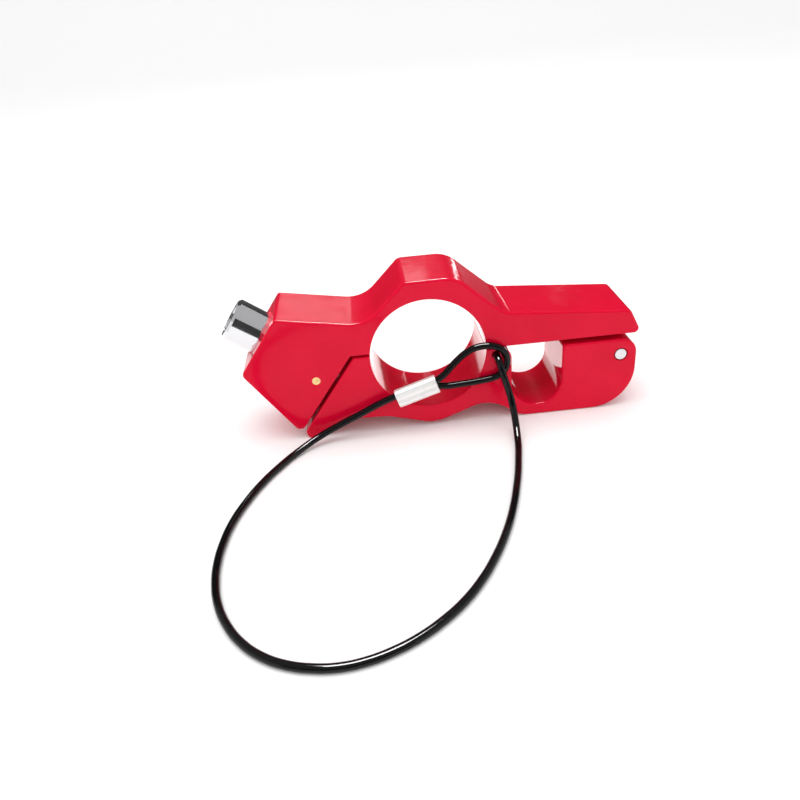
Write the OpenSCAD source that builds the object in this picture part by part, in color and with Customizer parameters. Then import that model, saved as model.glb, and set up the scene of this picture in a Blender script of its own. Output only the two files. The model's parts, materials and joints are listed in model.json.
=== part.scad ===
// Handlebar grip lock. Two hinged jaws close round a handlebar grip and its
// brake lever, a push-in lock cylinder holds them shut, and a coated steel
// cable is captive on the lower jaw.
// The origin is the centre of the grip bore: +X runs to the hinge, +Y to the
// back and +Z up. The lock stands on the foot of its lower jaw.

/* [Jaws] */
// Thickness of both jaws, front to back
body_t = 23.4; // [19:0.1:29]
// Diameter of the grip bore
bore_d = 36.4; // [30:0.1:44]
// Wall of the upper jaw over the bore
wall = 6.2; // [4.5:0.1:8]
// Height of the bore's centre line over the foot, less the bore's radius
base_drop = 7.6; // [6.5:0.1:11]
// Height of the straight arm where it leaves the hump
arm_h = 11.5; // [9:0.1:14]
// Height of the straight arm at the hinge end
arm_end_h = 8.1; // [6.5:0.1:9]
// Height of the jaws' seat at the lock side of the bore
seat_z = 2; // [0:0.1:3]
// Length of that seat
seat_l = 6; // [4:0.1:8]
// Gap between the closed jaws
jaw_gap = 1.1; // [0.8:0.1:1.5]

/* [Lever slot and hinge] */
// Width of the lever slot
slot_w = 16.2; // [13:0.1:20]
// Web between the bore and the lever slot
web_w = 8.1; // [7.5:0.1:12]
// Wall under the lever slot
slot_floor = 3.9; // [3:0.1:5]
// Diameter of the hinge pin
hinge_pin_d = 3.6; // [3:0.1:4.4]
// Distance of the hinge pin below the parting line
hinge_drop = 6.9; // [6.6:0.1:8]
// Radius of the lower jaw's ears round the hinge pin
ear_r = 5.2; // [4.6:0.1:5.6]
// Thickness of the upper jaw's knuckle between the ears
knuckle_t = 10; // [8:0.1:12]

/* [Lock cylinder] */
// Angle of the lock cylinder above the horizontal
tilt = 36; // [32:1:40]
// Depth of the housing along the cylinder
housing_d = 25.9; // [25:0.1:31]
// Diameter of the chrome barrel
barrel_d = 13.8; // [12.8:0.1:16.6]
// How far the barrel stands out when unlocked
barrel_out = 10.3; // [9:0.1:12]
// How far the barrel is pushed in to lock
travel = 8; // [6.5:0.1:8.2]
// Diameter of the key plug
plug_d = 9.2; // [9:0.1:9.6]
// Diameter of the bolt on the barrel's inner end
bolt_d = 8; // [7:0.1:8.4]
// Diameter of the brass pin that keeps the barrel in
keeper_d = 2.6; // [2.2:0.1:3]

/* [Cable] */
// Diameter of the coated cable
cable_d = 2.2; // [1.8:0.1:2.4]
// Length of the crimped ferrule
ferrule_l = 13.6; // [11:0.1:16]
// Wall of the ferrule over the cable
ferrule_wall = 0.9; // [0.5:0.05:0.95]

/* [Hidden] */

$fn = 96;
over = 1;               // how far a cut runs past the face it opens
fit = 0.02;             // clearance of fixed pieces
slide = 0.06;           // radial clearance of turning and sliding pieces
free = 0.3;             // clearance of pieces on different bodies that don't fit

bore_r = bore_d / 2;
barrel_r = barrel_d / 2;
plug_r = plug_d / 2;
bolt_r = bolt_d / 2;
keeper_r = keeper_d / 2;
cable_r = cable_d / 2;
pin_r = hinge_pin_d / 2;
front = -body_t / 2;

// Outline of the jaws
hump_z = bore_r + wall;
base_z = -(bore_r + base_drop);
slot_l = bore_r + web_w;
slot_r = slot_l + slot_w;
slot_z = base_z + slot_floor;
hinge_x = slot_r + 18.8;
hinge_z = -hinge_drop;
pin_ring = 0.4;         // open ring round each end of the hinge pin
pin_ring_depth = 1;
web_gap = 0.4;
seat_gap = 0.8;
seat_x = -(bore_r + seat_l);
lower_seat_z = seat_z - seat_gap;
inside_bore = bore_r - 1;

// Lock frame: its origin is the middle of the housing's end face, +Z points
// into the housing and +X down towards the foot
axis_drop = barrel_r + 4.6;
face_half = barrel_r + 3.9;
lock_x = seat_x - axis_drop * sin(tilt) - housing_d * cos(tilt);
lock_z = seat_z - axis_drop * cos(tilt) + housing_d * sin(tilt);
lower_face = housing_d + jaw_gap;
function lock_pt(across, deep) = [
    lock_x - across * sin(tilt) + deep * cos(tilt),
    lock_z - across * cos(tilt) - deep * sin(tilt)
];
function across_at(z, deep) = (lock_z - deep * sin(tilt) - z) / cos(tilt);

nose = lock_pt(across_at(base_z + 2.2, housing_d), housing_d);
toe = lock_pt(across_at(base_z + 2.3, lower_face), lower_face);

// Corners of the upper jaw: x, z and the radius that rounds each
upper_corners = [
    concat(lock_pt(-face_half, 0), [1.2]),
    [-(bore_r + 0.4), hump_z - 12.4, 11],
    [-(bore_r - 12), hump_z, 3],
    [bore_r - 8.8, hump_z, 10],
    [bore_r + 5.8, arm_h, 8],
    [hinge_x + 2.2, arm_end_h, 2],
    [hinge_x + 6.2, 0, 1.5],
    [inside_bore, 0, 0],
    [-inside_bore, seat_z, 0],
    [seat_x, seat_z, 0.8],
    concat(nose, [2]),
    concat(lock_pt(face_half, 0), [2])
];

// Corners of the lower jaw, from the top of the seat round the foot
lower_corners = [
    concat(lock_pt(across_at(lower_seat_z, lower_face), lower_face), [1]),
    concat(toe, [1.5]),
    [toe[0] + 1, base_z - 0.3, 1],
    [-(bore_r + 7.8), -(bore_r + 2.2), 8],
    [-(bore_r - 4), -(bore_r + 2.7), 12],
    [1, -(bore_r + 7.1), 13],
    [bore_r + 0.5, -(bore_r + 0.3), 11],
    [slot_l + 3.1, base_z, 8],
    [hinge_x + ear_r, base_z, 13.7],
    [hinge_x + ear_r, hinge_z + ear_r, ear_r - 0.02],
    [slot_r, hinge_z + ear_r, 0.8],
    [slot_r, slot_z, slot_w / 2 - 0.05],
    [slot_l, slot_z, slot_w / 2 - 0.05],
    [slot_l, -web_gap, 4],
    [inside_bore, -web_gap, 0],
    [-inside_bore, lower_seat_z, 0]
];

// Lock cylinder, along the lock frame's Z
barrel_l = 18.7;
barrel_front = -barrel_out;
barrel_end = barrel_front + barrel_l;
spring_floor = barrel_end + travel + 2.8;
face_recess = 0.5;
plug_end = 4.7;
latch_z = 4.86;
latch_t = 1.8;
latch_tip_w = 2.6;
latch_out = barrel_r - 0.05;
latch_in = -3;
latch_back = 2.6;
latch_travel = 1.7;
latch_pin_r = 0.5;
latch_boss_r = 1;
latch_pin_y = -(plug_r + latch_pin_r + 0.3);
latch_pin_root = 2.2;
latch_corners = [
    [-latch_boss_r, latch_pin_y], [-1.6, -1.6], [latch_in, -1], [latch_in, latch_back],
    [2.4, latch_back], [2.4, latch_tip_w / 2], [barrel_r + 1, latch_tip_w / 2],
    [barrel_r + 1, -latch_tip_w / 2], [2.4, -latch_tip_w / 2], [latch_boss_r, latch_pin_y]
];
crank_r = latch_travel / (2 * cos(45));
drive_r = 0.6;
bolt_head_r = barrel_r - 1.75;
bolt_head_t = 1.55;
bolt_tip = housing_d - 0.5;
keeper_z = spring_floor + 1.65;
keeper_x = 1;
keeper_tip = 1.4;
groove_depth = keeper_tip + 0.2;
end_play = 0.15;

// Wafer tumblers
wafer_t = 1;
wafer_w = 4.2;
wafer_pitch = 2;
wafer_z = -6.9;
wafer_play = 0.03;
cut_depths = [0.3, -0.4, 0.5, 0, -0.2];
keyway_w = 1.7;
keyway_h = 6.2;
wafer_spring_y = 2.75;
plug_groove_z = 3.15;

// Cable: where it is fixed in the web, and where the ferrule lies
anchor_x = bore_r + 3;
anchor_z = -2.4;
anchor_depth = 6;
ferrule_at = [-4.5, -13.9, -11.3];
ferrule_tilt = 17.7;

// Middle line of the cable from the web down to the surface, round the loop
// and up to the ferrule
loop_path = [
    [21.2, -8, -2.4], [21.2, -11.9, -2.4], [21.4, -14.1, -2.9],
    [21.8, -15.8, -4.5], [22.4, -16.7, -6.9], [23.3, -17.4, -10.2],
    [24.3, -18.3, -14], [24.9, -20.1, -17.8], [25, -22.9, -21],
    [24.7, -26.8, -23.4], [24, -31.5, -24.5], [22.8, -37, -24.7],
    [21.4, -43, -24.7], [19.6, -49.5, -24.7], [16.4, -59.5, -24.7],
    [12.3, -69.6, -24.7], [7.7, -78.5, -24.7], [3, -85.8, -24.7],
    [-2.5, -92.4, -24.7], [-7.6, -97, -24.7], [-13.4, -101.1, -24.7],
    [-19.6, -104.2, -24.7], [-25.9, -106.2, -24.7], [-31.8, -106.9, -24.7],
    [-37.6, -106.3, -24.7], [-43.3, -104.6, -24.7], [-48.8, -101.5, -24.7],
    [-53.7, -96.9, -24.7], [-57.8, -90.8, -24.7], [-60.7, -83.9, -24.7],
    [-62.3, -76.5, -24.7], [-62.8, -69, -24.7], [-62.2, -60.7, -24.7],
    [-60.6, -52.5, -24.7], [-57.8, -44.3, -24.7], [-54, -36, -24.7],
    [-49.2, -28.1, -24.7], [-43.6, -21, -24.4], [-37.2, -16.6, -22.8],
    [-30, -14.8, -20.1], [-22.5, -14.2, -17], [-16.5, -13.9, -14.3],
    [-11.3, -13.9, -12.3]
];

// Middle line of the eye, out of the ferrule and back into it
eye_path = [
    [1.6, -13.9, -8.2], [4, -13.8, -6.7], [6.4, -13.5, -4.4], [8.8, -13.3, -2.1],
    [11.3, -13.2, -0.1], [14.3, -13.1, 1.3], [17.6, -13.1, 1.7],
    [20.8, -13.1, 1.1], [23.2, -13.1, -0.6], [24.3, -13.1, -3.1],
    [24.2, -13.1, -5.9], [22.8, -13.1, -8.2], [20.2, -13.1, -9.6],
    [16.8, -13.1, -10.2], [13, -13.2, -10.5], [9.2, -13.4, -10.6],
    [5.6, -13.7, -10.6], [2.2, -13.9, -10.3]
];

function unit(v) = v / norm(v);

// Points of the arc that rounds corner b between corners a and c
function corner_arc(a, b, c) =
    let (
        at = [b[0], b[1]],
        u = unit([a[0], a[1]] - at),
        v = unit([c[0], c[1]] - at),
        half = acos(u * v) / 2,
        turn = 180 - 2 * half,
        side = u[0] * v[1] - u[1] * v[0] > 0 ? -1 : 1,
        steps = ceil(turn / 6),
        start = at + u * b[2] / tan(half),
        centre = at + unit(u + v) * b[2] / sin(half),
        arm = start - centre
    )
    b[2] == 0 ? [at] : [
        for (i = [0 : steps])
            let (w = side * turn * i / steps)
            centre + [
                arm[0] * cos(w) - arm[1] * sin(w),
                arm[0] * sin(w) + arm[1] * cos(w)
            ]
    ];

function outline(corners) = [
    for (i = [0 : len(corners) - 1])
        let (n = len(corners))
        each corner_arc(corners[(i + n - 1) % n], corners[i], corners[(i + 1) % n])
];

// Faces of a tube with that many rings, each of that many points
function tube_faces(rings, sides) = concat(
    [[for (j = [0 : sides - 1]) j]],
    [[for (j = [sides - 1 : -1 : 0]) (rings - 1) * sides + j]],
    [
        for (i = [0 : rings - 2], j = [0 : sides - 1])
            let (a = i * sides + j, b = i * sides + (j + 1) % sides)
            each [[a, a + sides, b + sides], [a, b + sides, b]]
    ]
);

function heading(path, i) =
    unit(path[min(i + 1, len(path) - 1)] - path[max(i - 1, 0)]);

// A round cord of radius r swept along a path; ref is never along the path
module cord(path, r, ref, sides = 8) {
    points = [
        for (i = [0 : len(path) - 1])
            let (
                t = heading(path, i),
                across = unit(cross(ref, t)),
                up = cross(t, across)
            )
            for (j = [0 : sides - 1])
                let (b = 360 * j / sides)
                path[i] + r * (cos(b) * across + sin(b) * up)
    ];
    polyhedron(points, tube_faces(len(path), sides));
}

// A coil spring along Z from z = 0
module coil(r, wire_r, length, turns, per_turn, sides) {
    rings = turns * per_turn + 1;
    rise = length - 2 * wire_r;
    points = [
        for (i = [0 : rings - 1], j = [0 : sides - 1])
            let (a = 360 * i / per_turn, b = 360 * j / sides)
            [
                (r + wire_r * cos(b)) * cos(a),
                (r + wire_r * cos(b)) * sin(a),
                wire_r + rise * i / (rings - 1) - wire_r * sin(b)
            ]
    ];
    polyhedron(points, tube_faces(rings, sides));
}

module at_lock() {
    translate([lock_x, 0, lock_z]) rotate([0, 90 + tilt, 0]) children();
}

module jaw_plate(corners) {
    rotate([90, 0, 0]) linear_extrude(body_t, center = true) polygon(outline(corners));
}

module grip_bore() {
    rotate([90, 0, 0]) cylinder(r = bore_r, h = body_t + 2 * over, center = true);
}

module hinge_hole(r) {
    translate([hinge_x, 0, hinge_z]) rotate([90, 0, 0])
        cylinder(r = r, h = body_t + 2 * over, center = true);
}

module box(low, high) {
    translate(low) cube(high - low);
}

// Rounded tongue that hangs from the upper arm onto the hinge pin
module knuckle() {
    translate([hinge_x, 0, hinge_z]) rotate([90, 0, 0])
        cylinder(r = ear_r, h = knuckle_t, center = true);
    box(
        [hinge_x - ear_r, -knuckle_t / 2, hinge_z],
        [hinge_x + 3.2, knuckle_t / 2, 1]
    );
}

// Room between the ears for the knuckle's whole swing
module knuckle_slot() {
    room = ear_r + 0.8;
    half = knuckle_t / 2 + free;
    translate([hinge_x, 0, hinge_z]) rotate([90, 0, 0])
        cylinder(r = room, h = 2 * half, center = true);
    box([hinge_x - room, -half, hinge_z], [hinge_x + 3 * room, half, over]);
    box([hinge_x, -half, hinge_z - room], [hinge_x + 3 * room, half, over]);
}

// Hollows of the housing: barrel bore, bolt hole and latch recess
module housing_hollows() {
    translate([0, 0, -over]) cylinder(r = barrel_r + slide, h = spring_floor + over);
    cylinder(r = bolt_r + slide, h = housing_d + 2 * over);
    box(
        [barrel_r - 0.9, -latch_tip_w / 2 - 0.2, latch_z + travel - 0.2],
        [barrel_r + 2, latch_tip_w / 2 + 1.9, latch_z + travel + latch_t + 0.2]
    );
}

module keeper(r, tip) {
    translate([keeper_x, front, keeper_z]) rotate([-90, 0, 0])
        cylinder(r = r, h = -front - bolt_r + tip);
}

module upper_jaw() {
    color("crimson") difference() {
        union() {
            jaw_plate(upper_corners);
            knuckle();
        }
        grip_bore();
        hinge_hole(pin_r + slide);
        at_lock() housing_hollows();
        at_lock() translate([0, -over, 0]) keeper(keeper_r + fit, keeper_tip + over);
    }
}

module lower_jaw() {
    color("crimson") difference() {
        jaw_plate(lower_corners);
        grip_bore();
        knuckle_slot();
        hinge_hole(pin_r + fit);
        for (side = [-1, 1])
            translate([hinge_x, side * (body_t / 2 - pin_ring_depth / 2 + over / 2), hinge_z])
                rotate([90, 0, 0])
                cylinder(r = pin_r + pin_ring, h = pin_ring_depth + over, center = true);
        at_lock() translate([0, 0, housing_d])
            cylinder(r = bolt_r + free, h = jaw_gap + travel);
        translate([anchor_x, front - over, anchor_z]) rotate([-90, 0, 0])
            cylinder(r = cable_r + fit, h = anchor_depth + over);
    }
}

module hinge_pin() {
    color("gainsboro") translate([hinge_x, 0, hinge_z]) rotate([90, 0, 0])
        cylinder(r = pin_r, h = body_t - 0.2, center = true);
}

module retaining_pin() {
    color("goldenrod") at_lock() keeper(keeper_r, keeper_tip);
}

module return_spring() {
    color("silver") at_lock() translate([0, 0, barrel_end + 0.05])
        coil(barrel_r - 1.35, 0.4, spring_floor - barrel_end - 0.1, 4, 24, 8);
}

// Room in the barrel for the whole swing of the latch, and the hole for its pin
module latch_room() {
    low = latch_z - slide;
    high = latch_z + latch_t + slide;
    box([latch_in - 2.3, -2.2, low], [barrel_r + over, latch_back + 0.7, high]);
    box([latch_in + 0.2, latch_pin_y, low], [2.7, 0, high]);
    translate([0, latch_pin_y, low]) cylinder(r = latch_boss_r + 0.1, h = high - low);
    translate([0, latch_pin_y, latch_z - latch_pin_root])
        cylinder(r = latch_pin_r + fit, h = latch_pin_root);
}

module barrel() {
    chamfer = 0.8;
    color("silver") at_lock() difference() {
        union() {
            translate([0, 0, barrel_front + chamfer])
                cylinder(r = barrel_r, h = barrel_l - chamfer);
            translate([0, 0, barrel_front])
                cylinder(r1 = barrel_r - chamfer, r2 = barrel_r, h = chamfer);
        }
        translate([0, 0, barrel_front - over])
            cylinder(r = plug_r + 0.8, h = face_recess + over);
        translate([0, 0, barrel_front])
            cylinder(r = plug_r + 0.05, h = plug_end + 0.1 - barrel_front);
        box(
            [-plug_r - 1, -wafer_w / 2 - 0.1, wafer_z - wafer_t],
            [plug_r + 1, wafer_w / 2 + 0.1, wafer_z + 4 * wafer_pitch + wafer_t]
        );
        latch_room();
        translate([-barrel_r + 0.7, 0, latch_z + latch_t / 2]) rotate([0, 90, 0])
            cylinder(r = 0.95, h = barrel_r - 1);
        translate([0, 0, barrel_end - bolt_head_t - fit])
            cylinder(r = bolt_head_r + fit, h = bolt_head_t + over);
        translate([0, 0, plug_groove_z]) rotate([-90, 0, 0])
            cylinder(r = 0.75 + fit, h = barrel_r + over);
    }
}

module bolt() {
    tip_chamfer = 0.6;
    groove_from = keeper_z - keeper_r - end_play - travel;
    groove_to = keeper_z + keeper_r + end_play;
    color("lightgray") at_lock() difference() {
        union() {
            translate([0, 0, barrel_end - bolt_head_t])
                cylinder(r = bolt_head_r, h = bolt_head_t);
            translate([0, 0, barrel_end - bolt_head_t])
                cylinder(r = bolt_r, h = bolt_tip - tip_chamfer - barrel_end + bolt_head_t);
            translate([0, 0, bolt_tip - tip_chamfer])
                cylinder(r1 = bolt_r, r2 = bolt_r - tip_chamfer, h = tip_chamfer);
        }
        box(
            [keeper_x - keeper_r - 0.15, -bolt_r - over, groove_from],
            [keeper_x + keeper_r + 0.15, -bolt_r + groove_depth, groove_to]
        );
    }
}

module plug_pin() {
    color("gold") at_lock() translate([0, plug_r - 0.7, plug_groove_z])
        rotate([-90, 0, 0]) cylinder(r = 0.75, h = barrel_r - 0.1 - plug_r + 0.7);
}

module latch() {
    window = drive_r + 0.1;
    crank = crank_r * cos(45);
    color("lightgray") at_lock() difference() {
        intersection() {
            union() {
                translate([0, 0, latch_z]) linear_extrude(latch_t) polygon(latch_corners);
                translate([0, latch_pin_y, latch_z]) cylinder(r = latch_boss_r, h = latch_t);
            }
            cylinder(r = latch_out, h = 2 * housing_d, center = true);
        }
        translate([0, latch_pin_y, latch_z - over])
            cylinder(r = latch_pin_r + slide, h = latch_t + 2 * over);
        box(
            [crank - window, crank - window, latch_z - over],
            [crank + window, crank_r + window, latch_z + latch_t + over]
        );
    }
}

module latch_pin() {
    color("gainsboro") at_lock() translate([0, latch_pin_y, latch_z - latch_pin_root])
        cylinder(r = latch_pin_r, h = latch_pin_root + latch_t);
}

module latch_spring() {
    color("silver") at_lock()
        translate([-barrel_r + 0.72, 0, latch_z + latch_t / 2]) rotate([0, 90, 0])
        coil(0.68, 0.14, barrel_r - 0.74 + latch_in, 5, 12, 6);
}

// Slot and spring pocket of one wafer in the plug
module wafer_room(i) {
    low = wafer_z + i * wafer_pitch;
    box(
        [-plug_r - over, -wafer_w / 2 - wafer_play, low - wafer_play],
        [plug_r + over, wafer_w / 2 + wafer_play, low + wafer_t + wafer_play]
    );
    box([-2, 0, low - 0.1], [1.6, wafer_spring_y + 0.6, low + wafer_t + 0.1]);
}

module key_plug() {
    chamfer = 0.3;
    start = barrel_front + face_recess;
    color("silver") at_lock() difference() {
        union() {
            translate([0, 0, start + chamfer])
                cylinder(r = plug_r, h = plug_end - start - chamfer);
            translate([0, 0, start])
                cylinder(r1 = plug_r - chamfer, r2 = plug_r, h = chamfer);
        }
        box(
            [-keyway_h / 2, -keyway_w / 2, start - over],
            [keyway_h / 2, keyway_w / 2, plug_groove_z - 1]
        );
        for (i = [0 : 4]) wafer_room(i);
        difference() {
            translate([0, 0, plug_groove_z - 0.82]) cylinder(r = plug_r + over, h = 1.64);
            cylinder(r = plug_r - 0.8, h = 2 * housing_d, center = true);
        }
        translate([crank_r * cos(45), crank_r * sin(45), plug_end - 1])
            cylinder(r = drive_r + fit, h = 1 + over);
    }
}

module drive_pin() {
    color("lightgray") at_lock()
        translate([crank_r * cos(45), crank_r * sin(45), plug_end - 1])
        cylinder(r = drive_r, h = latch_z + latch_t - 0.1 - plug_end + 1);
}

module wafer(i) {
    low = wafer_z + i * wafer_pitch;
    color("goldenrod") at_lock() difference() {
        union() {
            intersection() {
                box(
                    [-plug_r, -wafer_w / 2, low],
                    [plug_r, wafer_w / 2, low + wafer_t]
                );
                cylinder(r = plug_r - 0.05, h = 2 * housing_d, center = true);
            }
            box([0.8, 0, low], [1.5, wafer_spring_y + 0.5, low + wafer_t]);
        }
        box(
            [-2.3 + cut_depths[i], -1.1, low - over],
            [2.3 + cut_depths[i], 1.1, low + wafer_t + over]
        );
    }
}

module wafer_spring(i) {
    color("silver") at_lock()
        translate([-1.98, wafer_spring_y, wafer_z + i * wafer_pitch + wafer_t / 2])
        rotate([0, 90, 0]) coil(0.42, 0.1, 2.76, 4, 8, 5);
}

module cable_loop() {
    color([0.1, 0.1, 0.1]) cord(loop_path, cable_r, [-0.8, 0, 0.6]);
}

module cable_eye() {
    color([0.1, 0.1, 0.1]) cord(eye_path, cable_r, [0, 1, 0]);
}

module ferrule() {
    rod_r = cable_r + ferrule_wall;
    color("whitesmoke") translate(ferrule_at) rotate([0, -ferrule_tilt, 0]) union() {
        box(
            [-ferrule_l / 2, -rod_r, -cable_r],
            [ferrule_l / 2, rod_r, cable_r]
        );
        for (side = [-1, 1])
            translate([0, 0, side * cable_r]) rotate([0, 90, 0])
                cylinder(r = rod_r, h = ferrule_l, center = true);
    }
}

upper_jaw();
lower_jaw();
hinge_pin();
retaining_pin();
return_spring();
barrel();
bolt();
plug_pin();
latch();
latch_pin();
latch_spring();
key_plug();
drive_pin();
wafer(0);  // wafer_1
wafer(1);  // wafer_2
wafer(2);  // wafer_3
wafer(3);  // wafer_4
wafer(4);  // wafer_5
wafer_spring(0);  // wafer_spring_1
wafer_spring(1);  // wafer_spring_2
wafer_spring(2);  // wafer_spring_3
wafer_spring(3);  // wafer_spring_4
wafer_spring(4);  // wafer_spring_5
cable_loop();
cable_eye();
ferrule();
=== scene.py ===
"""Handlebar grip lock: painted jaws, lock cylinder, coated cable and studio, built round its frame.

Lengths are in metres. The origin is the centre of the grip bore, +X runs to the hinge, +Y to the
back and +Z up. The lock stands on the foot of its lower jaw.
"""

import json
import math

import bmesh
import bpy
from mathutils import Matrix, Vector


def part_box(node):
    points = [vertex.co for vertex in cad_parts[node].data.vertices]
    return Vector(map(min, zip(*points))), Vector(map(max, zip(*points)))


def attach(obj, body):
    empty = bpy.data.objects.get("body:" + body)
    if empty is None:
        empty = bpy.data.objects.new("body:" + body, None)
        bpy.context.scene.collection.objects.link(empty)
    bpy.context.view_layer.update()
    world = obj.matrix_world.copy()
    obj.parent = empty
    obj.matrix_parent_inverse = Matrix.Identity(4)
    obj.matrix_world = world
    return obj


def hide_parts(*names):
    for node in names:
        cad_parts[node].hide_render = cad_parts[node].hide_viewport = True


bl_info = {
    "name": "Handlebar Grip Lock",
    "version": (1, 0, 0),
    "blender": (4, 5, 0),
    "location": "View3D > Sidebar > Grip Lock",
    "description": "Builds a handlebar grip lock with its finishes, cable and studio",
    "category": "Add Mesh",
}

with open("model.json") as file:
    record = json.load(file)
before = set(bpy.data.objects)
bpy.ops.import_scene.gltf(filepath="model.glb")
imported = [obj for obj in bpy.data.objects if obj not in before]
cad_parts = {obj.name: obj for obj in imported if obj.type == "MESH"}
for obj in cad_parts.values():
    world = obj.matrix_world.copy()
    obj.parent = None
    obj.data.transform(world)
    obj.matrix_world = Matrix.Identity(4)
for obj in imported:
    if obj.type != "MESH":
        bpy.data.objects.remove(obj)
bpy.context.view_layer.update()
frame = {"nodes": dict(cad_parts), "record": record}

MM = 0.001
WELD = 1e-7  # points closer than this become one
GRIP_BORE = next(m for m in frame["record"]["mounts"] if m["name"] == "grip_bore")
JAW_LOW, JAW_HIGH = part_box("lower_jaw")

# Finish of each piece whose shape comes from the frame
METAL_OF_NODE = {
    "hinge_pin": "bright_steel",
    "retaining_pin": "brass",
    "return_spring": "spring_steel",
    "barrel": "chrome",
    "bolt": "bright_steel",
    "plug_pin": "brass",
    "latch": "bright_steel",
    "latch_pin": "bright_steel",
    "latch_spring": "spring_steel",
    "key_plug": "chrome",
    "drive_pin": "bright_steel",
    **{f"wafer_{i}": "brass" for i in range(1, 6)},
    **{f"wafer_spring_{i}": "spring_steel" for i in range(1, 6)},
}

# Middle line of the cable in millimetres: out of the web, down to the surface, round the loop,
# up through the sleeve, round the eye and back into the sleeve
LOOP_ROUTE = [
    (21.2, -8, -2.4), (21.2, -11.9, -2.4), (21.4, -14.1, -2.9), (21.8, -15.8, -4.5),
    (22.4, -16.7, -6.9), (23.3, -17.4, -10.2), (24.3, -18.3, -14), (24.9, -20.1, -17.8),
    (25, -22.9, -21), (24.7, -26.8, -23.4), (24, -31.5, -24.5), (22.8, -37, -24.7),
    (21.4, -43, -24.7), (19.6, -49.5, -24.7), (16.4, -59.5, -24.7), (12.3, -69.6, -24.7),
    (7.7, -78.5, -24.7), (3, -85.8, -24.7), (-2.5, -92.4, -24.7), (-7.6, -97, -24.7),
    (-13.4, -101.1, -24.7), (-19.6, -104.2, -24.7), (-25.9, -106.2, -24.7), (-31.8, -106.9, -24.7),
    (-37.6, -106.3, -24.7), (-43.3, -104.6, -24.7), (-48.8, -101.5, -24.7), (-53.7, -96.9, -24.7),
    (-57.8, -90.8, -24.7), (-60.7, -83.9, -24.7), (-62.3, -76.5, -24.7), (-62.8, -69, -24.7),
    (-62.2, -60.7, -24.7), (-60.6, -52.5, -24.7), (-57.8, -44.3, -24.7), (-54, -36, -24.7),
    (-49.2, -28.1, -24.7), (-43.6, -21, -24.4), (-37.2, -16.6, -22.8), (-30, -14.8, -20.1),
    (-22.5, -14.2, -17), (-16.5, -13.9, -14.3), (-11.3, -13.9, -12.3),
]
EYE_ROUTE = [
    (1.6, -13.9, -8.2), (4, -13.8, -6.7), (6.4, -13.5, -4.4), (8.8, -13.3, -2.1),
    (11.3, -13.2, -0.1), (14.3, -13.1, 1.3), (17.6, -13.1, 1.7), (20.8, -13.1, 1.1),
    (23.2, -13.1, -0.6), (24.3, -13.1, -3.1), (24.2, -13.1, -5.9), (22.8, -13.1, -8.2),
    (20.2, -13.1, -9.6), (16.8, -13.1, -10.2), (13, -13.2, -10.5), (9.2, -13.4, -10.6),
    (5.6, -13.7, -10.6), (2.2, -13.9, -10.3),
]
TAIL_ROUTE = [(-3.4, -13.9, -12.1), (-9.3, -13.9, -14)]


def length(name, value, description):
    return bpy.props.FloatProperty(
        name=name, default=value, description=description, subtype="DISTANCE", unit="LENGTH"
    )


def colour(name, value, description):
    return bpy.props.FloatVectorProperty(
        name=name, default=value, description=description, subtype="COLOR", size=3, min=0, max=1
    )


class GripLockJaws(bpy.types.PropertyGroup):
    thickness: length("Thickness", JAW_HIGH.y - JAW_LOW.y, "Front to back of both jaws")
    bore: length("Bore radius", GRIP_BORE["dims"]["r_mm"] * MM, "Radius of the grip bore")
    wall: length("Wall", 6.2 * MM, "Wall of the upper jaw over the bore")
    base_drop: length("Base drop", 7.6 * MM, "Foot below the bore")
    arm_height: length("Arm height", 11.5 * MM, "Top of the arm where it leaves the hump")
    arm_end: length("Arm end height", 8.1 * MM, "Top of the arm at the hinge end")
    seat_height: length("Seat height", 2 * MM, "Seat of the upper jaw beside the bore")
    seat_length: length("Seat length", 6 * MM, "Length of that seat")
    gap: length("Gap", 1.1 * MM, "Gap between the closed jaws at the lock")
    slot_width: length("Slot width", 16.2 * MM, "Width of the lever slot")
    web: length("Web", 8.1 * MM, "Web between the bore and the slot")
    slot_floor: length("Slot floor", 3.9 * MM, "Wall under the lever slot")
    hinge_drop: length("Hinge drop", 6.9 * MM, "Hinge pin below the parting line")
    ear: length("Ear radius", 5.2 * MM, "Radius of the ears round the hinge pin")
    knuckle: length("Knuckle", 10 * MM, "Thickness of the knuckle between the ears")
    pin: length("Pin radius", 1.8 * MM, "Radius of the hinge pin")
    edge: length("Edge rounding", 0.8 * MM, "Rounding of the outer edges")
    seat_edge: length("Seat edge rounding", 0.45 * MM, "Rounding of the bore and seat edges")


class GripLockCylinder(bpy.types.PropertyGroup):
    tilt: bpy.props.FloatProperty(
        name="Tilt", default=math.radians(36), subtype="ANGLE", unit="ROTATION",
        description="Angle of the lock cylinder above the horizontal",
    )
    depth: length("Housing depth", 25.9 * MM, "Depth of the housing along the cylinder")
    barrel: length("Barrel radius", 6.9 * MM, "Radius of the chrome barrel")
    bore_depth: length("Barrel bore depth", 19.2 * MM, "Depth of the bore for the barrel")
    bolt: length("Bolt radius", 4 * MM, "Radius of the bolt")
    travel: length("Travel", 8 * MM, "How far the barrel is pushed in")
    keeper: length("Keeper radius", 1.3 * MM, "Radius of the brass pin")
    keeper_depth: length("Keeper place", 20.85 * MM, "Place of the brass pin along the cylinder")
    keeper_side: length("Keeper side", 1 * MM, "Place of the brass pin across the cylinder")


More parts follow.
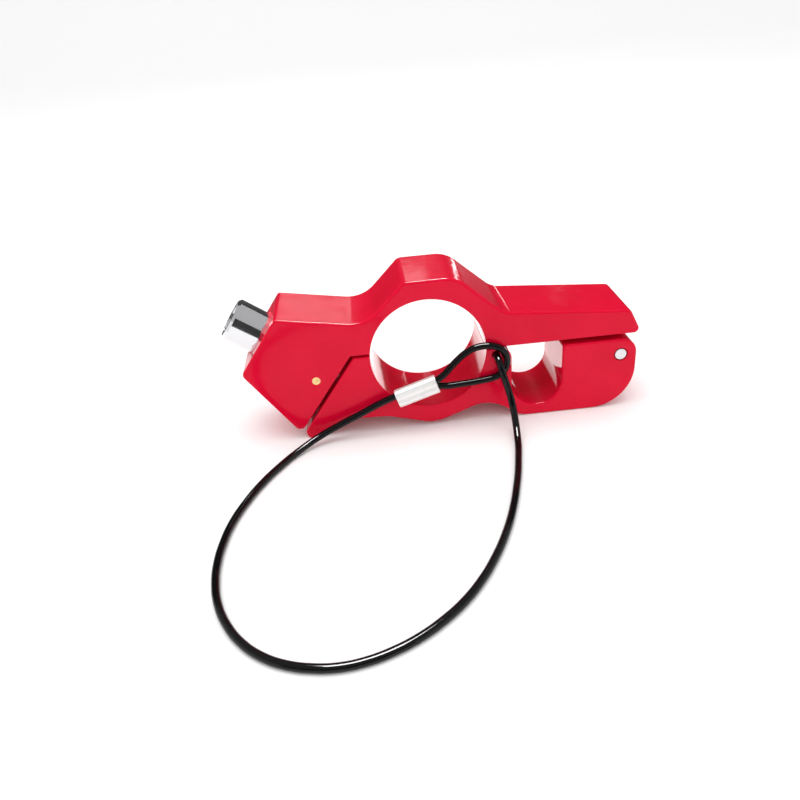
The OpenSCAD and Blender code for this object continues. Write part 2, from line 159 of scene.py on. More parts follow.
class GripLockCable(bpy.types.PropertyGroup):
    diameter: length("Diameter", 2.2 * MM, "Diameter of the coated cable")
    total: length("Length", 362 * MM, "Whole length of the cable")
    sleeve: length("Sleeve length", 13.6 * MM, "Length of the crimped sleeve")
    sleeve_wall: length("Sleeve wall", 0.9 * MM, "Wall of the sleeve over the cable")
    sleeve_tilt: bpy.props.FloatProperty(
        name="Sleeve tilt", default=math.radians(17.7), subtype="ANGLE", unit="ROTATION",
        description="Rise of the sleeve towards the eye",
    )


class GripLockFinish(bpy.types.PropertyGroup):
    red: colour("Red paint", (0.67, 0.003, 0.03), "Gloss paint of both jaws")
    deep_red: colour("Deep red paint", (0.62, 0.002, 0.025), "Thicker paint of both jaws")
    steel: colour("Steel", (0.72, 0.72, 0.73), "Ground steel of pins and bolt")
    brass: colour("Brass", (0.83, 0.6, 0.27), "Brass of the small pins and wafers")
    spring: colour("Spring steel", (0.5, 0.5, 0.52), "Drawn spring wire")
    chrome: colour("Chrome", (0.76, 0.76, 0.78), "Polished plating of the barrel")
    jacket: colour("Cable jacket", (0.003, 0.003, 0.0035), "Vinyl coating of the cable")
    sleeve: colour("Sleeve", (0.9, 0.9, 0.89), "Bright aluminium of the sleeve")


class GripLockStage(bpy.types.PropertyGroup):
    camera_at: bpy.props.FloatVectorProperty(
        name="Camera place", default=(-0.0181, -0.218, 0.1033), subtype="TRANSLATION",
        unit="LENGTH", description="Where the camera stands",
    )
    camera_turn: bpy.props.FloatVectorProperty(
        name="Camera turn", default=[math.radians(a) for a in (60.08, 4.27, -4.69)],
        subtype="EULER", unit="ROTATION", description="How the camera is turned",
    )
    lens: bpy.props.FloatProperty(
        name="Lens", default=33.42, unit="CAMERA", description="Focal length in millimetres"
    )
    floor: colour("Floor", (0.94, 0.94, 0.94), "Pale floor and backdrop")


# ---------------------------------------------------------------- finishes


class Signal:
    """A value in a finish. Python's operators on it add Math nodes."""

    def __init__(self, finish, socket):
        self.finish = finish
        self.socket = socket

    def _maths(self, operation, *values):
        sockets = dict(enumerate(values))
        return self.finish.node("ShaderNodeMath", {"operation": operation}, sockets)

    def __add__(self, other):
        return self._maths("ADD", self, other)

    def __sub__(self, other):
        return self._maths("SUBTRACT", self, other)

    def __mul__(self, other):
        return self._maths("MULTIPLY", self, other)

    def __radd__(self, other):
        return self._maths("ADD", other, self)

    def __rsub__(self, other):
        return self._maths("SUBTRACT", other, self)

    def __rmul__(self, other):
        return self._maths("MULTIPLY", other, self)

    def to_range(self, low, high, new_low, new_high):
        """This value with low to high stretched to the new range, smoothly and clamped."""
        settings = {"interpolation_type": "SMOOTHSTEP"}
        sockets = {0: self, 1: low, 2: high, 3: new_low, 4: new_high}
        return self.finish.node("ShaderNodeMapRange", settings, sockets)


class Finish:
    """A procedural material with one Principled shader."""

    def __init__(self, name, **constants):
        self.material = bpy.data.materials.new(name)
        self.material.use_nodes = True
        self.tree = self.material.node_tree
        self.tree.nodes.clear()
        self.surface = self.tree.nodes.new("ShaderNodeBsdfPrincipled")
        output = self.tree.nodes.new("ShaderNodeOutputMaterial")
        self.tree.links.new(self.surface.outputs[0], output.inputs["Surface"])
        self.set(**constants)
        self.place = self.node("ShaderNodeTexCoord", output="Object")

    def node(self, kind, settings=None, sockets=None, output=0):
        """Adds a node of that type: its settings first, then its sockets' values or links."""
        made = self.tree.nodes.new(kind)
        for name, value in (settings or {}).items():
            setattr(made, name, value)
        for name, value in (sockets or {}).items():
            self.feed(made.inputs[name], value)
        return Signal(self, made.outputs[output])

    def feed(self, socket, value):
        if isinstance(value, Signal):
            self.tree.links.new(value.socket, socket)
        elif socket.type == "RGBA":
            socket.default_value = (*value, 1)
        else:
            socket.default_value = value

    def set(self, **values):
        """Sets the shader's sockets, named with _ for each space."""
        for name, value in values.items():
            self.feed(self.surface.inputs[name.replace("_", " ")], value)

    def noise(self, size, detail=2, stretch=(1, 1, 1)):
        """Soft noise from 0 to 1 whose patches are about size across, longer where stretch is."""
        scale = tuple(1 / (size * s) for s in stretch)
        place = self.node(
            "ShaderNodeVectorMath", {"operation": "MULTIPLY"}, {0: self.place, 1: scale}
        )
        sockets = {"Vector": place, "Scale": 1, "Detail": detail}
        return self.node("ShaderNodeTexNoise", sockets=sockets)

    def blend(self, share, first, second):
        """Colour first, turning into second as share goes from 0 to 1."""
        settings = {"data_type": "RGBA"}
        return self.node("ShaderNodeMix", settings, {0: share, 6: first, 7: second}, output=2)

    def relief(self, height, distance):
        """Feeds a bump of that height, distance deep, to the surface."""
        sockets = {"Height": height, "Distance": distance, "Strength": 1}
        self.set(Normal=self.node("ShaderNodeBump", sockets=sockets))


def red_paint(colours):
    """Gloss paint: a wet look, faint orange peel and slightly uneven depth of colour."""
    paint = Finish("red_paint", IOR=1.34, Specular_IOR_Level=0.3)
    depth = paint.noise(14 * MM, detail=3).to_range(0.3, 0.7, 0, 1)
    paint.set(Base_Color=paint.blend(depth, tuple(colours.red), tuple(colours.deep_red)))
    haze = paint.noise(5 * MM, detail=4)
    paint.set(Roughness=haze.to_range(0.35, 0.75, 0.07, 0.13))
    peel = paint.noise(1.6 * MM, detail=1)
    waves = paint.noise(7 * MM, detail=1)
    paint.relief(peel * 0.12 + waves, 0.05 * MM)
    return paint.material


def chrome(colours):
    """Bright plating with faint polishing marks."""
    plating = Finish("chrome", Metallic=1.0, Base_Color=tuple(colours.chrome))
    haze = plating.noise(2.5 * MM, detail=4)
    plating.set(Roughness=haze.to_range(0.3, 0.8, 0.05, 0.14))
    plating.relief(plating.noise(0.25 * MM, detail=2), 0.001 * MM)
    return plating.material


def bright_steel(colours):
    """Ground steel with fine grain and a few darker specks."""
    steel = Finish("bright_steel", Metallic=1.0)
    grain = steel.noise(0.18 * MM, detail=3, stretch=(1, 12, 1))
    specks = steel.noise(0.7 * MM, detail=5).to_range(0.62, 0.72, 0, 0.5)
    dark = tuple(0.45 * c for c in colours.steel)
    steel.set(Base_Color=steel.blend(specks, tuple(colours.steel), dark))
    steel.set(Roughness=grain.to_range(0.3, 0.7, 0.22, 0.36))
    steel.relief(grain, 0.002 * MM)
    return steel.material


def brass(colours):
    """Turned brass, a little tarnished."""
    metal = Finish("brass", Metallic=1.0)
    tarnish = metal.noise(1.2 * MM, detail=5).to_range(0.45, 0.75, 0, 0.6)
    dull = tuple(0.6 * c for c in colours.brass)
    metal.set(Base_Color=metal.blend(tarnish, tuple(colours.brass), dull))
    metal.set(Roughness=tarnish * 0.3 + 0.22)
    metal.relief(metal.noise(0.12 * MM, detail=2), 0.002 * MM)
    return metal.material


def spring_steel(colours):
    """Drawn spring wire with fine lengthwise haze."""
    wire = Finish("spring_steel", Metallic=1.0)
    haze = wire.noise(0.4 * MM, detail=4)
    pale = tuple(min(1, 1.3 * c) for c in colours.spring)
    wire.set(Base_Color=wire.blend(haze, tuple(colours.spring), pale))
    wire.set(Roughness=haze.to_range(0.3, 0.7, 0.24, 0.4))
    return wire.material


def cable_jacket(colours):
    """Glossy black vinyl drawn tightly over steel rope."""
    jacket = Finish("cable_jacket", IOR=1.32)
    dust = jacket.noise(3 * MM, detail=5).to_range(0.5, 0.8, 0, 0.25)
    grey = (0.012, 0.012, 0.013)
    jacket.set(Base_Color=jacket.blend(dust, tuple(colours.jacket), grey))
    jacket.set(Roughness=dust * 0.4 + 0.06)
    jacket.relief(jacket.noise(1.1 * MM, detail=2), 0.012 * MM)
    return jacket.material


def crimped_aluminium(colours):
    """Bright drawn aluminium, pressed in the crimping tool."""
    metal = Finish("crimped_aluminium", Metallic=0.55)
    drawn = metal.noise(0.16 * MM, detail=3, stretch=(14, 1, 4))
    rubbed = metal.noise(1.8 * MM, detail=4).to_range(0.5, 0.75, 0, 0.35)
    dull = tuple(0.72 * c for c in colours.sleeve)
    metal.set(Base_Color=metal.blend(rubbed, tuple(colours.sleeve), dull))
    metal.set(Roughness=drawn.to_range(0.3, 0.7, 0.28, 0.42))
    metal.relief(drawn, 0.004 * MM)
    return metal.material


FINISHES = {
    "red_paint": red_paint,
    "chrome": chrome,
    "bright_steel": bright_steel,
    "brass": brass,
    "spring_steel": spring_steel,
    "cable_jacket": cable_jacket,
    "crimped_aluminium": crimped_aluminium,
}


def finish_of(slot):
    """The material of that slot, made when it is first asked for."""
    made = bpy.data.materials.get("gl_" + slot)
    if made is None:
        made = FINISHES[slot](bpy.context.scene.grip_lock_finish)
        made.name = "gl_" + slot
    return made


# ---------------------------------------------------------------- shapes


def link(name, mesh):
    piece = bpy.data.objects.new(name, mesh)
    bpy.context.scene.collection.objects.link(piece)
    return piece


def mesh_piece(name, build):
    """An object whose mesh is what build puts into a bmesh."""
    bm = bmesh.new()
    build(bm)
    bmesh.ops.remove_doubles(bm, verts=bm.verts, dist=WELD)
    bmesh.ops.recalc_face_normals(bm, faces=bm.faces)
    mesh = bpy.data.meshes.new(name)
    bm.to_mesh(mesh)
    bm.free()
    return link(name, mesh)


def stack(bm, rings):
    """Closes a stack of rings, each with the same number of points, into a solid."""
    loops = [[bm.verts.new(p) for p in ring] for ring in rings]
    for low, high in zip(loops, loops[1:]):
        for i in range(len(low)):
            j = (i + 1) % len(low)
            bm.faces.new((low[i], low[j], high[j], high[i]))
    bm.faces.new(loops[0][::-1])
    bm.faces.new(loops[-1])


def rounded_outline(corners, step=math.radians(4)):
    """Points of an outline in XZ whose corners are (x, z, rounding radius)."""
    points = []
    count = len(corners)
    for i, (x, z, radius) in enumerate(corners):
        at = Vector((x, z))
        if not radius:
            points.append(at)
            continue
        before = (Vector(corners[i - 1][:2]) - at).normalized()
        after = (Vector(corners[(i + 1) % count][:2]) - at).normalized()
        half = before.angle(after) / 2
        turn = math.pi - 2 * half
        side = -1 if before.cross(after) > 0 else 1
        centre = at + (before + after).normalized() * radius / math.sin(half)
        arm = at + before * radius / math.tan(half) - centre
        steps = math.ceil(turn / step)
        for k in range(steps + 1):
            points.append(centre + Matrix.Rotation(side * turn * k / steps, 2) @ arm)
    return points


def inward(points):
    """For each point of an outline, the way in that keeps its two sides parallel."""
    area = sum(a.cross(b) for a, b in zip(points, points[1:] + points[:1]))
    side = 1 if area > 0 else -1
    ways = []
    for i, at in enumerate(points):
        before = (at - points[i - 1]).normalized()
        after = (points[(i + 1) % len(points)] - at).normalized()
        first = Vector((-before.y, before.x)) * side
        second = Vector((-after.y, after.x)) * side
        ways.append((first + second) / (1 + first.dot(second)))
    return ways


def rounded_plate(name, points, rounding, thickness, steps=5):
    """A plate that stands in XZ, with the edge at each point rounded by that much."""
    ways = inward(points)
    levels = [math.pi / 2 * k / steps for k in range(steps + 1)]
    half = thickness / 2

    def ring(angle, side):
        cover, rise = 1 - math.cos(angle), 1 - math.sin(angle)
        return [
            (
                p.x + w.x * r * cover,
                side * (half - r * rise),
                p.y + w.y * r * cover,
            )
            for p, w, r in zip(points, ways, rounding)
        ]

    front = [ring(a, -1) for a in reversed(levels)]
    back = [ring(a, 1) for a in levels]
    return mesh_piece(name, lambda bm: stack(bm, front + back))


def turned(name, profile, place, segments=72):
    """A solid of revolution about Z of profile's (radius, height) points, put at place."""
    rings = [
        [
            place @ Vector((r * math.cos(a), r * math.sin(a), z))
            for a in (2 * math.pi * k / segments for k in range(segments))
        ]
        for r, z in profile
    ]
    return mesh_piece(name, lambda bm: stack(bm, rings))


def rod(radius, low, high):
    """Profile of a plain cylinder from low to high."""
    return [(radius, low), (radius, high)]


def block(name, low, high, place):
    """A box between two corners, put at place."""
    (left, front, bottom), (right, back, top) = low, high

    def ring(z):
        corners = ((left, front), (right, front), (right, back), (left, back))
        return [place @ Vector((x, y, z)) for x, y in corners]

    return mesh_piece(name, lambda bm: stack(bm, [ring(bottom), ring(top)]))


def carve(piece, tools, operation="DIFFERENCE"):
    """Cuts the tools out of the piece, or adds them to it, and throws them away."""
    for tool in tools:
        step = piece.modifiers.new("carve", "BOOLEAN")
        step.operation = operation
        step.solver = "EXACT"
        step.object = tool
    graph = bpy.context.evaluated_depsgraph_get()
    mesh = bpy.data.meshes.new_from_object(piece.evaluated_get(graph))
    piece.modifiers.clear()
    piece.data = mesh
    for tool in tools:
        bpy.data.objects.remove(tool)
    if not mesh.polygons:
        raise RuntimeError(f"carving left nothing of {piece.name}")


def smooth(piece, angle=32):
    """Smooth shading that keeps flat faces flat and corners over that many degrees sharp."""
    piece.data.shade_smooth()
    piece.data.set_sharp_from_angle(angle=math.radians(angle))
    weights = piece.modifiers.new("even_normals", "WEIGHTED_NORMAL")
    weights.keep_sharp = True
    weights.weight = 100


def fit_out(piece, slot, body, *nodes):
    """Gives a finished piece its material, hides the frame parts that it stands in for and hangs it
    on the body it rides on.
    """
    piece.data.materials.clear()
    piece.data.materials.append(finish_of(slot))
    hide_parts(*nodes)
    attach(piece, body)


class JawPlan:
    """Places and outlines that both jaws share."""

    # Gaps round a pressed part and a sliding part, beside a moving part, at the web and at the seat
    press = 0.02 * MM
    slide = 0.06 * MM
    free = 0.3 * MM
    web_gap = 0.4 * MM
    seat_gap = 0.8 * MM

    # How far a cutting shape reaches past the face that it cuts
    past = 1 * MM

    # Distances along the outlines
    slot_to_hinge = 18.8 * MM
    seat_wall = 4.6 * MM
    housing_wall = 3.9 * MM
    nose_rise = 2.2 * MM
    toe_rise = 2.3 * MM

    # Half of the flat that is left between two roundings that nearly meet
    slot_flat = 0.05 * MM
    ear_flat = 0.02 * MM

    # Edges are rounded less this close to the bore or a seat, and left of and below the toe's limit
    bore_rim = 0.5 * MM
    seat_rim = 0.3 * MM
    toe_x = -36 * MM
    toe_height = 5 * MM

    def __init__(self, scene):
        jaws, lock = scene.grip_lock_jaws, scene.grip_lock_cylinder
        self.jaws, self.lock = jaws, lock
        self.sin, self.cos = math.sin(lock.tilt), math.cos(lock.tilt)
        self.top = jaws.bore + jaws.wall
        self.base = -(jaws.bore + jaws.base_drop)
        self.slot_left = jaws.bore + jaws.web
        self.slot_right = self.slot_left + jaws.slot_width
        self.slot_bottom = self.base + jaws.slot_floor
        self.hinge_x = self.slot_right + self.slot_to_hinge
        self.hinge_z = -jaws.hinge_drop
        self.seat_x = -(jaws.bore + jaws.seat_length)
        self.lower_seat = jaws.seat_height - self.seat_gap
        drop = lock.barrel + self.seat_wall
        self.lock_x = self.seat_x - drop * self.sin - lock.depth * self.cos
        self.lock_z = jaws.seat_height - drop * self.cos + lock.depth * self.sin
        self.lower_face = lock.depth + jaws.gap
        self.at_lock = Matrix.Translation((self.lock_x, 0, self.lock_z)) @ Matrix.Rotation(
            math.pi / 2 + lock.tilt, 4, "Y"
        )
        self.at_hinge = Matrix.Translation((self.hinge_x, 0, self.hinge_z)) @ Matrix.Rotation(
            math.pi / 2, 4, "X"
        )

    def lock_point(self, across, deep):
        """The point (x, z) that far across the lock's axis and that deep along it."""
        return (
            self.lock_x - across * self.sin + deep * self.cos,
            self.lock_z - across * self.cos - deep * self.sin,
        )

    def across_at(self, z, deep):
        """How far across the axis the point at height z is, that deep along it."""
        return (self.lock_z - deep * self.sin - z) / self.cos

    def upper_outline(self):
        """Outline of the upper jaw. Its corners are (x, z, rounding radius)."""
        jaws, lock = self.jaws, self.lock
        half = lock.barrel + self.housing_wall
        left = -math.sqrt(jaws.bore**2 - jaws.seat_height**2)
        nose_across = self.across_at(self.base + self.nose_rise, lock.depth)
        seat = (self.seat_x, jaws.seat_height, 0.8 * MM)
        nose = (*self.lock_point(nose_across, lock.depth), 2 * MM)
        mouth_low = (*self.lock_point(half, 0), 2 * MM)
        mouth_high = (*self.lock_point(-half, 0), 1.2 * MM)
        hump_foot = (-(jaws.bore + 0.4 * MM), self.top - 12.4 * MM, 11 * MM)
        hump_left = (-(jaws.bore - 12 * MM), self.top, 3 * MM)
        hump_right = (jaws.bore - 8.8 * MM, self.top, 10 * MM)
        hump_end = (jaws.bore + 5.8 * MM, jaws.arm_height, 8 * MM)
        arm_shoulder = (self.hinge_x + 2.2 * MM, jaws.arm_end, 2 * MM)
        arm_tip = (self.hinge_x + 6.2 * MM, 0, 1.5 * MM)
        corners = [
            (left, jaws.seat_height, 0), seat, nose, mouth_low, mouth_high,
            hump_foot, hump_left, hump_right, hump_end, arm_shoulder, arm_tip,
            (jaws.bore, 0, 0),
        ]
        return self.with_bore(corners, 0, math.atan2(jaws.seat_height, left))

    def lower_outline(self):
        """Outline of the lower jaw. Its corners are (x, z, rounding radius)."""
        jaws = self.jaws
        face = self.lower_face
        left = -math.sqrt(jaws.bore**2 - self.lower_seat**2)
        right = math.sqrt(jaws.bore**2 - self.web_gap**2)
        ear_x = self.hinge_x + jaws.ear
        ear_top = self.hinge_z + jaws.ear
        slot_round = jaws.slot_width / 2 - self.slot_flat
        toe_x, toe_z = self.lock_point(self.across_at(self.base + self.toe_rise, face), face)
        head = (*self.lock_point(self.across_at(self.lower_seat, face), face), 1 * MM)
        toe = (toe_x, toe_z, 1.5 * MM)
        toe_foot = (toe_x + 1 * MM, self.base - 0.3 * MM, 1 * MM)
        arch_left = (-(jaws.bore + 7.8 * MM), -(jaws.bore + 2.2 * MM), 8 * MM)
        arch_right = (-(jaws.bore - 4 * MM), -(jaws.bore + 2.7 * MM), 12 * MM)
        belly = (1 * MM, -(jaws.bore + 7.1 * MM), 13 * MM)
        waist = (jaws.bore + 0.5 * MM, -(jaws.bore + 0.3 * MM), 11 * MM)
        foot = (self.slot_left + 3.1 * MM, self.base, 8 * MM)
        heel = (ear_x, self.base, 13.7 * MM)
        corners = [
            (left, self.lower_seat, 0), head, toe, toe_foot,
            arch_left, arch_right, belly, waist, foot, heel,
            (ear_x, ear_top, jaws.ear - self.ear_flat),
            (self.slot_right, ear_top, 0.8 * MM),
            (self.slot_right, self.slot_bottom, slot_round),
            (self.slot_left, self.slot_bottom, slot_round),
            (self.slot_left, -self.web_gap, 4 * MM),
            (right, -self.web_gap, 0),
        ]
        start = math.atan2(-self.web_gap, right)
        end = math.atan2(self.lower_seat, left) - 2 * math.pi
        return self.with_bore(corners, start, end)

    def with_bore(self, corners, start, end):
        """Outline points and edge roundings, with the bore's arc closing the corners."""
        jaws = self.jaws
        outer = rounded_outline(corners)
        step = math.radians(3)
        steps = math.ceil(abs(end - start) / step)
        angles = [start + (end - start) * k / steps for k in range(1, steps)]
        arc = [Vector((math.cos(a), math.sin(a))) * jaws.bore for a in angles]
        points = outer + arc
        fine = jaws.seat_edge
        return points, [self.rounding_at(p, fine) for p in outer] + [fine] * len(arc)

    def rounding_at(self, point, fine):
        """Less rounding on the bore, on the seats and on the thin toe of the lower jaw."""
        jaws = self.jaws
        near_bore = point.length < jaws.bore + self.bore_rim
        along_seat = abs(point.y) < jaws.seat_height + self.seat_rim and point.x < 0
        at_toe = point.x < self.toe_x and point.y < self.base + self.toe_height
        return fine if near_bore or along_seat or at_toe else jaws.edge


# ---------------------------------------------------------------- operators


class GRIPLOCK_OT_upper_jaw(bpy.types.Operator):
    """Build the painted upper jaw with its hump, lock housing and hinge knuckle"""

    bl_idname = "grip_lock.upper_jaw"
    bl_label = "Upper Jaw"

    def execute(self, context):
        plan = JawPlan(context.scene)
        jaws, lock = plan.jaws, plan.lock
        points, rounding = plan.upper_outline()
        jaw = rounded_plate("upper_jaw_painted", points, rounding, jaws.thickness)
        half = jaws.knuckle / 2
        edge = 0.3 * MM
        tongue = turned(
            "tongue",
            [(jaws.ear - edge, -half), (jaws.ear, -half + edge), (jaws.ear, half - edge),
             (jaws.ear - edge, half)],
            plan.at_hinge,
        )
        # The neck joins the tongue to the arm. Its faces stay just inside the tongue's.
        inset = 0.02 * MM
        below, reach, above = 0.5 * MM, 3.2 * MM, 1 * MM
        neck = block(
            "neck",
            (inset - jaws.ear, inset - half, plan.hinge_z - below),
            (reach, half - inset, above),
            Matrix.Translation((plan.hinge_x, 0, 0)),
        )
        carve(jaw, [tongue, neck], "UNION")
        barrel, bolt = lock.barrel + plan.slide, lock.bolt + plan.slide
        chamfer, past = 0.35 * MM, plan.past
        wide = chamfer + past
        face = jaws.thickness / 2
        recess_low = (lock.barrel - 0.9 * MM, -1.5 * MM, 12.66 * MM)
        recess_high = (lock.barrel + 2 * MM, 3.2 * MM, 14.86 * MM)
        at_keeper = (
            plan.at_lock
            @ Matrix.Translation((lock.keeper_side, -face, lock.keeper_depth))
            @ Matrix.Rotation(-math.pi / 2, 4, "X")
        )
        tools = [
            turned(
                "barrel_bore",
                [(barrel + wide, -past), (barrel, chamfer), (barrel, lock.bore_depth)],
                plan.at_lock,
            ),
            turned(
                "bolt_hole",
                [(bolt, 0), (bolt, lock.depth - chamfer), (bolt + wide, lock.depth + past)],
                plan.at_lock,
            ),
            turned(
                "pin_hole",
                rod(jaws.pin + plan.slide, -jaws.thickness, jaws.thickness),
                plan.at_hinge,
                segments=48,
            ),
            turned(
                "keeper_hole",
                rod(lock.keeper + plan.press, -past, face - lock.bolt + past),
                at_keeper,
                segments=48,
            ),
            block("latch_recess", recess_low, recess_high, plan.at_lock),
        ]
        carve(jaw, tools)
        smooth(jaw)
        fit_out(jaw, "red_paint", "upper", "upper_jaw")
        return {"FINISHED"}


class GRIPLOCK_OT_lower_jaw(bpy.types.Operator):
    """Build the painted lower jaw with its half bore, lever slot and hinge ears"""

    bl_idname = "grip_lock.lower_jaw"
    bl_label = "Lower Jaw"

    def execute(self, context):
        plan = JawPlan(context.scene)
        jaws, lock = plan.jaws, plan.lock
        points, rounding = plan.lower_outline()
        jaw = rounded_plate("lower_jaw_painted", points, rounding, jaws.thickness)
        room = jaws.ear + 0.8 * MM
        half = jaws.knuckle / 2 + plan.free
        face, past = jaws.thickness / 2, plan.past
        far = (3 * room, half, past - plan.hinge_z)
        at_pin = Matrix.Translation((plan.hinge_x, 0, plan.hinge_z))
        pin = jaws.pin + plan.press
        # An open ring of this width and depth lies round each end of the hinge pin
        ring_width, ring_depth = 0.4 * MM, 1 * MM
        ring, step = pin + ring_width, face - ring_depth
        anchor = Vector(LOOP_ROUTE[0]) * MM
        cable = context.scene.grip_lock_cable.diameter / 2 + plan.press
        anchor_depth, flare = 6 * MM, 0.25 * MM
        tools = [
            turned("knuckle_room", rod(room, -half, half), plan.at_hinge),
            block("knuckle_top", (-room, -half, 0), far, at_pin),
            block("knuckle_end", (0, -half, -room), far, at_pin),
            turned(
                "pin_hole",
                [(ring, -face - past), (ring, -step), (pin, -step),
                 (pin, step), (ring, step), (ring, face + past)],
                plan.at_hinge,
                segments=48,
            ),
            turned(
                "bolt_socket",
                rod(lock.bolt + plan.free, lock.depth, plan.lower_face + lock.travel),
                plan.at_lock,
            ),
            turned(
                "anchor_hole",
                [(cable, -anchor_depth), (cable, -flare), (cable + flare + past, past)],
                Matrix.Translation((anchor.x, -face, anchor.z))
                @ Matrix.Rotation(math.pi / 2, 4, "X"),
                segments=48,
            ),
        ]
        carve(jaw, tools)
        smooth(jaw)
        fit_out(jaw, "red_paint", "lower", "lower_jaw")
        return {"FINISHED"}


class GRIPLOCK_OT_cable(bpy.types.Operator):
    """Lay the coated cable and its crimped sleeve"""

    bl_idname = "grip_lock.cable"
    bl_label = "Cable and Sleeve"

    def execute(self, context):
        sizes = context.scene.grip_lock_cable
        sleeve = self.sleeve(sizes)
        curve = bpy.data.curves.new("cable", "CURVE")
        curve.dimensions = "3D"
        curve.bevel_depth = sizes.diameter / 2
        curve.bevel_resolution = 5
        curve.resolution_u = 6
        curve.use_fill_caps = True
        spline = curve.splines.new("BEZIER")
        route = [Vector(p) * MM for p in LOOP_ROUTE + EYE_ROUTE + TAIL_ROUTE]
        spline.bezier_points.add(len(route) - 1)
        for point, at in zip(spline.bezier_points, route):
            point.co = at
            point.handle_left_type = point.handle_right_type = "AUTO"
        cable = link("cable", curve)
        fit_out(cable, "cable_jacket", "lower", "cable_loop", "cable_eye")
        return {"FINISHED"}

    def sleeve(self, sizes):
        """The sleeve: two lobes pressed flat, with a shallow valley between them."""
        low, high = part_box("ferrule")
        middle = (low + high) / 2
        place = Matrix.Translation(middle) @ Matrix.Rotation(-sizes.sleeve_tilt, 4, "Y")
        radius = sizes.diameter / 2
        bulge = radius + sizes.sleeve_wall
        valley = 0.22 * MM
        quarter = [math.radians(a) for a in (0, 22, 45, 68, 90)]
        section = []
        for side in (1, -1):
            lobe = [
                (side * (radius + bulge * math.cos(a)), side * bulge * math.sin(a))
                for a in quarter
            ]
            back = [(z, -y) for z, y in lobe[:0:-1]]
            section += [*back, *lobe, (0, side * (bulge - valley))]
        points = [Vector((y, z)) for z, y in section]
        ways = inward(points)
        half = sizes.sleeve / 2
        edge = 0.28 * MM
        # How far in and how far along each ring of the rounded end is
        levels = [(edge, 0), (0.3 * edge, 0.25 * edge), (0, edge)]

        def ring(inset, along):
            return [
                place @ Vector((along, p.x + w.x * inset, p.y + w.y * inset))
                for p, w in zip(points, ways)
            ]

        rings = [ring(i, -half + a) for i, a in levels]
        rings += [ring(i, half - a) for i, a in reversed(levels)]
        piece = mesh_piece("crimped_sleeve", lambda bm: stack(bm, rings))
        channel = rod(radius + 0.03 * MM, -half - edge, half + edge)
        lengthwise = Matrix.Rotation(math.pi / 2, 4, "Y")
        tools = [
            turned(
                "channel",
                channel,
                place @ Matrix.Translation((0, 0, side * radius)) @ lengthwise,
                segments=36,
            )
            for side in (1, -1)
        ]
        carve(piece, tools)
        smooth(piece, angle=18)
        fit_out(piece, "crimped_aluminium", "lower", "ferrule")
        return piece


class GRIPLOCK_OT_metal_parts(bpy.types.Operator):
    """Finish the pins, lock cylinder, springs and tumblers in their metals"""

    bl_idname = "grip_lock.metal_parts"
    bl_label = "Metal Parts"

    def execute(self, context):
        for name, slot in METAL_OF_NODE.items():
            part = frame["nodes"][name]
            for place in part.material_slots:
                place.material = finish_of(slot)
        return {"FINISHED"}


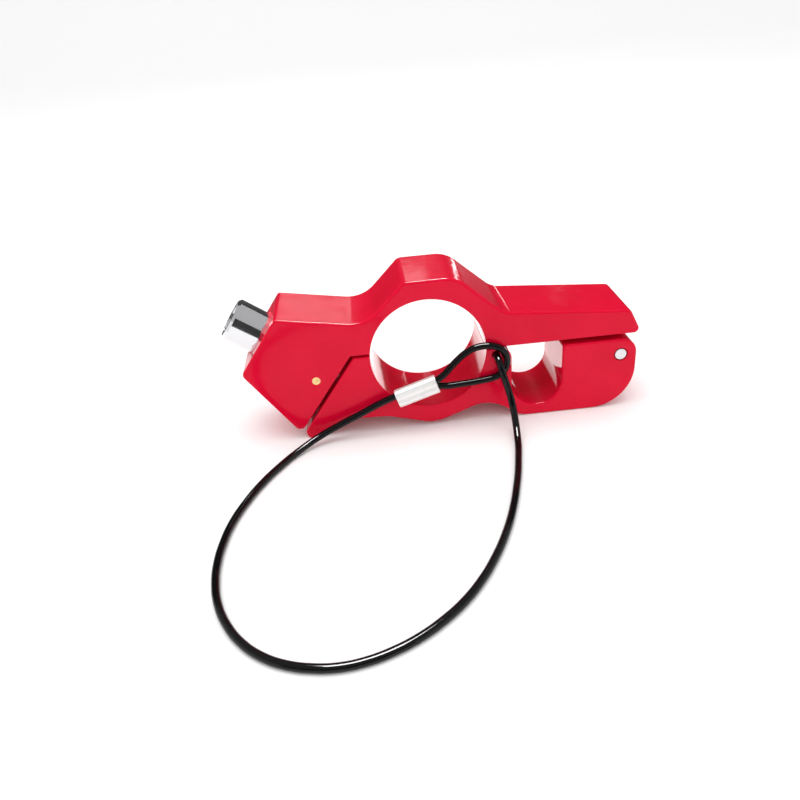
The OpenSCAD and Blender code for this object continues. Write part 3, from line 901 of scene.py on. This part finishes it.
class GRIPLOCK_OT_stage(bpy.types.Operator):
    """Set up the floor, backdrop, soft lights and camera"""

    bl_idname = "grip_lock.stage"
    bl_label = "Studio"

    def execute(self, context):
        sizes = context.scene.grip_lock_stage
        self.camera(context, sizes)
        self.floor(sizes)
        self.softbox("over", at=(-0.1, -0.05, 0.95), aim=(0, 0, 0), size=(0.9, 0.7), power=4.2)
        self.cards()
        world = bpy.data.worlds.new("studio")
        world.use_nodes = True
        background = world.node_tree.nodes["Background"]
        background.inputs["Color"].default_value = (1, 1, 1, 1)
        background.inputs["Strength"].default_value = 1
        context.scene.world = world
        context.scene.view_settings.view_transform = "Standard"
        return {"FINISHED"}

    def camera(self, context, sizes):
        camera = bpy.data.objects.new("camera", bpy.data.cameras.new("camera"))
        context.scene.collection.objects.link(camera)
        camera.location = sizes.camera_at
        camera.rotation_euler = sizes.camera_turn
        camera.data.lens = sizes.lens
        camera.data.clip_start = 0.01
        camera.data.clip_end = 50
        context.scene.camera = camera

    def floor(self, sizes):
        """A level floor that sweeps up into a backdrop."""
        ground = JAW_LOW.z
        near, far, half = -14, 2.4, 14
        bend, height = 1.2, 4
        profile = [(near, ground), (far - bend, ground)]
        steps = 24
        for k in range(1, steps + 1):
            a = math.pi / 2 * k / steps
            profile.append((far - bend + bend * math.sin(a), ground + bend * (1 - math.cos(a))))
        profile.append((far, height))

        def build(bm):
            rows = [[bm.verts.new((x, y, z)) for x in (-half, half)] for y, z in profile]
            for low, high in zip(rows, rows[1:]):
                bm.faces.new((low[0], low[1], high[1], high[0]))

        floor = mesh_piece("floor", build)
        floor.data.shade_smooth()
        paper = Finish("paper", Specular_IOR_Level=0.1)
        tint = paper.noise(0.4, detail=2)
        pale = tuple(sizes.floor)
        paper.set(Base_Color=paper.blend(tint, pale, tuple(0.985 * c for c in pale)))
        paper.set(Roughness=tint.to_range(0, 1, 0.85, 0.95))
        floor.data.materials.append(paper.material)

    def softbox(self, name, at, aim, size, power):
        """A soft lamp turned to aim, unseen in gloss."""
        lamp = bpy.data.lights.new(name, "AREA")
        lamp.shape = "RECTANGLE"
        lamp.size, lamp.size_y = size
        lamp.energy = power
        box = bpy.data.objects.new(name, lamp)
        bpy.context.scene.collection.objects.link(box)
        box.location = at
        box.rotation_euler = (Vector(aim) - Vector(at)).to_track_quat("-Z", "Y").to_euler()
        box.visible_glossy = False

    def cards(self):
        """Places the cards round the lock: two far corners in metres, and the glow of each."""
        ground = JAW_LOW.z
        flag_z, bounce_z = ground + 1 * MM, ground + 0.5 * MM
        left, right = -2, 2
        front, back, top = -1.84, 0.95, 1
        dark = 0.02
        cards = {
            "ceiling": ((-1.6, front, 0.93), (right, 0.84, 0.93), 0.5),
            "strip": ((-0.2, -0.16, 0.9), (0.28, 0.32, 0.9), 60),
            "flag_front": ((left, front, ground), (right, front, top), dark),
            "flag_floor": ((left, front, flag_z), (right, -0.2, flag_z), dark),
            "flag_behind": ((-1.6, back, ground), (right, back, top), dark),
            "flag_back_floor": ((left, 0.085, flag_z), (right, back, flag_z), dark),
            "bounce": ((-0.05, 0.015, bounce_z), (0.06, 0.075, bounce_z), 2.4),
            "window": ((-0.03, 0.9, 0.35), (0.085, 0.9, 0.47), 1.4),
            "slit": ((0.35, 0.9, 0), (0.364, 0.9, 0.3), 8),
        }
        for name, (low, high, glow) in cards.items():
            self.card(name, low, high, glow)

    def card(self, name, low, high, glow):
        """A flat card between two corners that only shows in gloss, bright or as a dark flag."""
        flat = min(range(3), key=lambda axis: high[axis] - low[axis])
        first, second = (axis for axis in range(3) if axis != flat)

        def build(bm):
            corners = []
            for a, b in ((0, 0), (1, 0), (1, 1), (0, 1)):
                corner = list(low)
                corner[first] = (low, high)[a][first]
                corner[second] = (low, high)[b][second]
                corners.append(bm.verts.new(corner))
            bm.faces.new(corners)

        card = mesh_piece(name, build)
        paper = Finish(name, Base_Color=(0, 0, 0), Emission_Color=(1, 1, 1), Emission_Strength=glow)
        card.data.materials.append(paper.material)
        card.visible_camera = card.visible_diffuse = card.visible_shadow = False
        card.visible_transmission = False


class GRIPLOCK_PT_panel(bpy.types.Panel):
    """Buttons and sizes of the grip lock"""

    bl_label = "Grip Lock"
    bl_idname = "GRIPLOCK_PT_panel"
    bl_space_type = "VIEW_3D"
    bl_region_type = "UI"
    bl_category = "Grip Lock"

    def draw(self, context):
        for operator in OPERATORS:
            self.layout.operator(operator.bl_idname)
        for name, group in GROUPS.items():
            box = self.layout.box()
            sizes = getattr(context.scene, name)
            for field in group.__annotations__:
                box.prop(sizes, field)


GROUPS = {
    "grip_lock_jaws": GripLockJaws,
    "grip_lock_cylinder": GripLockCylinder,
    "grip_lock_cable": GripLockCable,
    "grip_lock_finish": GripLockFinish,
    "grip_lock_stage": GripLockStage,
}
OPERATORS = (
    GRIPLOCK_OT_stage,
    GRIPLOCK_OT_cable,
    GRIPLOCK_OT_upper_jaw,
    GRIPLOCK_OT_lower_jaw,
    GRIPLOCK_OT_metal_parts,
)


def register():
    for kind in (*GROUPS.values(), *OPERATORS, GRIPLOCK_PT_panel):
        bpy.utils.register_class(kind)
    for name, group in GROUPS.items():
        setattr(bpy.types.Scene, name, bpy.props.PointerProperty(type=group))


def unregister():
    for name in GROUPS:
        delattr(bpy.types.Scene, name)
    for kind in (GRIPLOCK_PT_panel, *reversed(OPERATORS), *GROUPS.values()):
        bpy.utils.unregister_class(kind)


def main():
    register()
    for operator in OPERATORS:
        group, name = operator.bl_idname.split(".")
        getattr(getattr(bpy.ops, group), name)()


if __name__ == "__main__":
    main()
